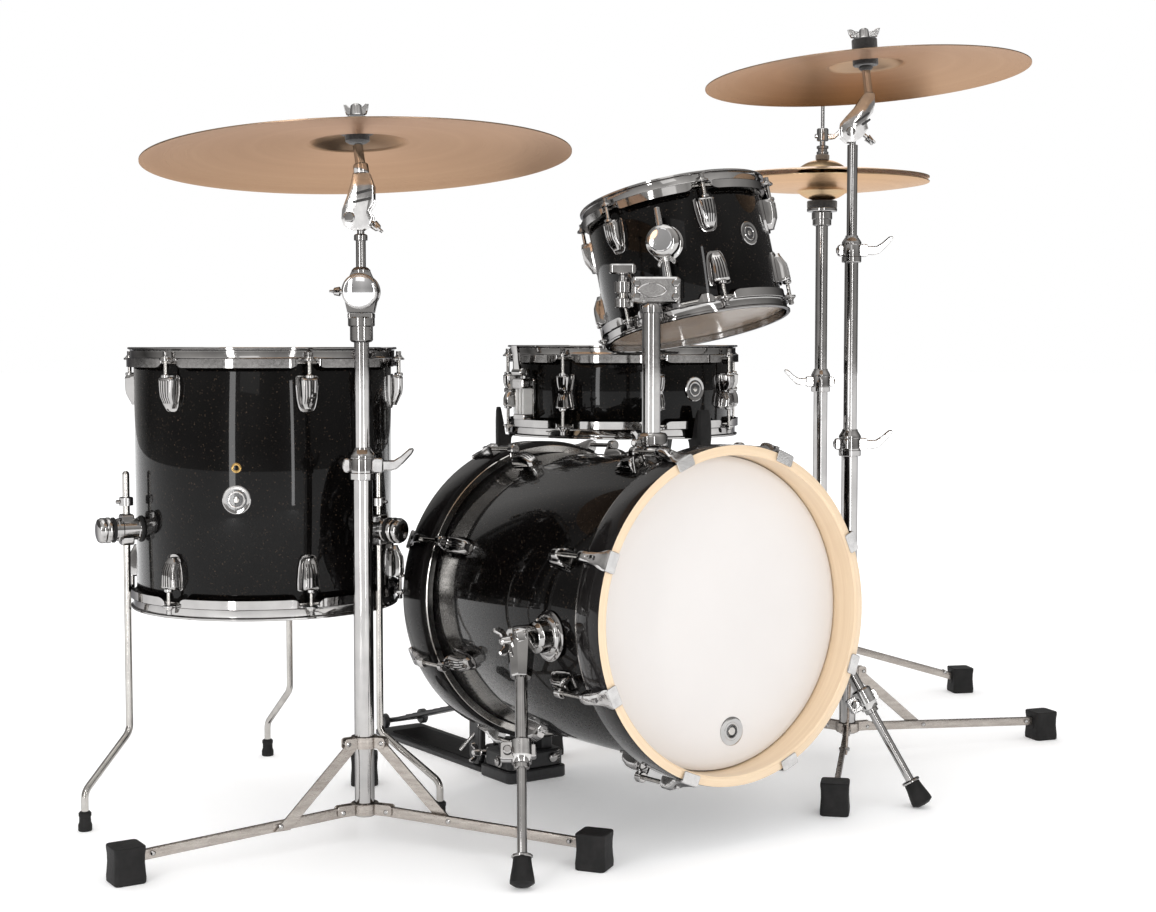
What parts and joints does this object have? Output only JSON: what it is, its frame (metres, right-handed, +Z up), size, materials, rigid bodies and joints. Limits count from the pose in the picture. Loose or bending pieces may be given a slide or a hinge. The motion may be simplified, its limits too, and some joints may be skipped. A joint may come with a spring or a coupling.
{
  "type": "acoustic drum kit",
  "caption": "Compact acoustic drum kit: bass drum with spurs and pedal, rack tom on a post, floor tom on legs, snare, hi-hat and two cymbals on flat-base stands.",
  "frame": {"origin": "middle of the footprint, on the floor", "axes": "+Z up, +Y towards the drummer, +X to the right seen from the audience"},
  "size_m": [1.7594, 0.9844, 1.136],
  "materials": {
    "black_wrap": "black sparkle drum wrap, high gloss",
    "maple": "natural maple, lacquered inside, black outside",
    "drumhead": "smooth white polyester film",
    "chrome": "polished chrome plating",
    "steel": "nickel plated steel",
    "black_rubber": "moulded black rubber",
    "black_metal": "black powder coat",
    "bronze": "lathed B20 bronze",
    "snare_wire": "coiled steel snare wires"
  },
  "bodies": {
    "root": {"bass_shell": "black_wrap", "bass_front_hoop": "maple", "bass_rear_hoop": "maple", "bass_heads": "drumhead", "bass_lugs": "chrome", "bass_claws": "chrome", "bass_tension_rods": "chrome", "bass_shell_brackets": "chrome", "bass_riser": "black_metal", "pedal_frame": "black_metal", "floor_tom_shell": "black_wrap", "floor_tom_heads": "drumhead", "floor_tom_hoops": "chrome", "floor_tom_lugs": "chrome", "floor_tom_rods": "chrome", "floor_tom_leg_brackets": "chrome", "snare_stand_base": "chrome", "hihat_base": "chrome", "ride_stand_base": "chrome", "crash_stand_base": "chrome"},
    "spur_left_upper": {"spur_left_tube": "chrome"},
    "spur_right_upper": {"spur_right_tube": "chrome"},
    "spur_left_lower": {"spur_left_leg": "chrome"},
    "spur_right_lower": {"spur_right_leg": "chrome"},
    "footboard": {"pedal_footboard": "black_metal"},
    "beater": {"pedal_beater": "steel"},
    "tom_support": {"tom_post": "chrome", "tom_arm": "chrome"},
    "rack_tom": {"tom_bracket": "chrome", "tom_shell": "black_wrap", "tom_heads": "drumhead", "tom_hoops": "chrome", "tom_lugs": "chrome", "tom_rods": "chrome"},
    "leg_left": {"floor_tom_leg_left": "chrome"},
    "leg_right": {"floor_tom_leg_right": "chrome"},
    "leg_rear": {"floor_tom_leg_rear": "chrome"},
    "snare_column": {"snare_stand_tube": "chrome"},
    "snare_drum": {"snare_basket": "black_rubber", "snare_shell": "black_wrap", "snare_heads": "drumhead", "snare_hoops": "chrome", "snare_lugs": "chrome", "snare_rods": "chrome", "snare_strainer": "chrome", "snare_wires": "snare_wire"},
    "strainer_lever": {"snare_strainer_lever": "chrome"},
    "hat_board": {"hihat_pedal": "steel"},
    "hat_column": {"hihat_tube": "chrome", "hihat_bottom_cymbal": "bronze"},
    "hat_pull": {"hihat_rod": "chrome", "hihat_top_cymbal": "bronze"},
    "ride_column": {"ride_stand_tube": "chrome"},
    "ride_boom": {"ride_stand_rod": "chrome"},
    "ride_head": {"ride_tilter": "chrome"},
    "ride_disc": {"ride_cymbal": "bronze"},
    "crash_column": {"crash_stand_tube": "chrome"},
    "crash_top": {"crash_stand_rod": "chrome"},
    "crash_head": {"crash_tilter": "chrome"},
    "crash_disc": {"crash_cymbal": "bronze"}
  },
  "joints": [
    {"name": "spur_left_fold", "type": "hinge", "parent": "root", "child": "spur_left_upper", "pos_m": [-0.40048, -0.34555, 0.274], "axis": [-1, 0, 0], "range_deg": [0, 62]},
    {"name": "spur_left_extend", "type": "slide", "parent": "spur_left_upper", "child": "spur_left_lower", "axis": [-0.2761, -0.4298, -0.8597], "range_m": [-0.06, 0]},
    {"name": "spur_right_fold", "type": "hinge", "parent": "root", "child": "spur_right_upper", "pos_m": [0.09552, -0.34555, 0.274], "axis": [-1, 0, 0], "range_deg": [0, 62]},
    {"name": "spur_right_extend", "type": "slide", "parent": "spur_right_upper", "child": "spur_right_lower", "axis": [0.2761, -0.4298, -0.8597], "range_m": [-0.06, 0]},
    {"name": "pedal_press", "type": "hinge", "parent": "root", "child": "footboard", "pos_m": [-0.17248, 0.36345, 0.024], "axis": [1, 0, 0], "range_deg": [0, 11], "stiffness_Nm_per_rad": 6, "springref_deg": -20.05},
    {"name": "beater_swing", "type": "hinge", "parent": "root", "child": "beater", "pos_m": [-0.17248, 0.07045, 0.19], "axis": [1, 0, 0], "range_deg": [0, 43]},
    {"name": "rack_tom_height", "type": "slide", "parent": "root", "child": "tom_support", "axis": [0, 0, 1], "range_m": [-0.03, 0.06]},
    {"name": "rack_tom_tilt", "type": "hinge", "parent": "tom_support", "child": "rack_tom", "pos_m": [-0.12664, -0.28047, 0.78592], "axis": [-0.6538, 0.7242, -0.2193], "range_deg": [-13, 0]},
    {"name": "floor_tom_leg_left_height", "type": "slide", "parent": "root", "child": "leg_left", "axis": [0, 0, 1], "range_m": [0, 0.05]},
    {"name": "floor_tom_leg_right_height", "type": "slide", "parent": "root", "child": "leg_right", "axis": [0, 0, 1], "range_m": [0, 0.05]},
    {"name": "floor_tom_leg_rear_height", "type": "slide", "parent": "root", "child": "leg_rear", "axis": [0, 0, 1], "range_m": [0, 0.05]},
    {"name": "snare_stand_height", "type": "slide", "parent": "root", "child": "snare_column", "axis": [0, 0, 1], "range_m": [-0.01, 0.02]},
    {"name": "snare_basket_tilt", "type": "hinge", "parent": "snare_column", "child": "snare_drum", "pos_m": [0.10052, 0.12045, 0.43], "axis": [1, 0, 0], "range_deg": [-12, 1]},
    {"name": "snare_throw_off", "type": "hinge", "parent": "snare_drum", "child": "strainer_lever", "pos_m": [-0.10028, 0.12045, 0.603], "axis": [0, -1, 0], "range_deg": [0, 75]},
    {"name": "hihat_pedal_press", "type": "hinge", "parent": "root", "child": "hat_board", "pos_m": [0.33576, 0.31422, 0.022], "axis": [0.4067, 0.9135, 0], "range_deg": [0, 1.4], "stiffness_Nm_per_rad": 30, "springref_deg": -14.32},
    {"name": "hihat_height", "type": "slide", "parent": "root", "child": "hat_column", "axis": [0, 0, 1], "range_m": [-0.04, 0]},
    {"name": "hihat_rod_pull", "type": "slide", "parent": "root", "child": "hat_pull", "axis": [0, 0, -1], "range_m": [0, 0.00618]},
    {"name": "ride_height", "type": "slide", "parent": "root", "child": "ride_column", "axis": [0, 0, 1], "range_m": [-0.02, 0.09]},
    {"name": "ride_knuckle_swing", "type": "hinge", "parent": "ride_column", "child": "ride_boom", "pos_m": [-0.54148, -0.19055, 0.713], "axis": [0.5721, 0.8202, 0], "range_deg": [-18, 18]},
    {"name": "ride_tilt", "type": "hinge", "parent": "ride_boom", "child": "ride_head", "pos_m": [-0.54148, -0.19055, 0.812], "axis": [1, 0, 0], "range_deg": [-15, 15]},
    {"name": "ride_cymbal_spin", "type": "hinge", "parent": "ride_head", "child": "ride_disc", "pos_m": [-0.54148, -0.19055, 0.812], "axis": [0.004, 0.081, 0.9967], "continuous": true},
    {"name": "crash_lower_height", "type": "slide", "parent": "root", "child": "crash_column", "axis": [0, 0, 1], "range_m": [-0.03, 0.09]},
    {"name": "crash_upper_height", "type": "slide", "parent": "crash_column", "child": "crash_top", "axis": [0, 0, 1], "range_m": [-0.03, 0.09]},
    {"name": "crash_tilt", "type": "hinge", "parent": "crash_top", "child": "crash_head", "pos_m": [0.31752, -0.18255, 0.981], "axis": [0.5721, 0.8202, 0], "range_deg": [-18, 18]},
    {"name": "crash_cymbal_spin", "type": "hinge", "parent": "crash_head", "child": "crash_disc", "pos_m": [0.33652, -0.19555, 1.012], "axis": [-0.03, 0.06, 0.9977], "continuous": true}
  ],
  "couplings": [
    {"joint": "beater_swing", "follows": "pedal_press", "ratio": 3.9091},
    {"joint": "hihat_rod_pull", "follows": "hihat_pedal_press", "m_per_rad": 0.25292}
  ]
}
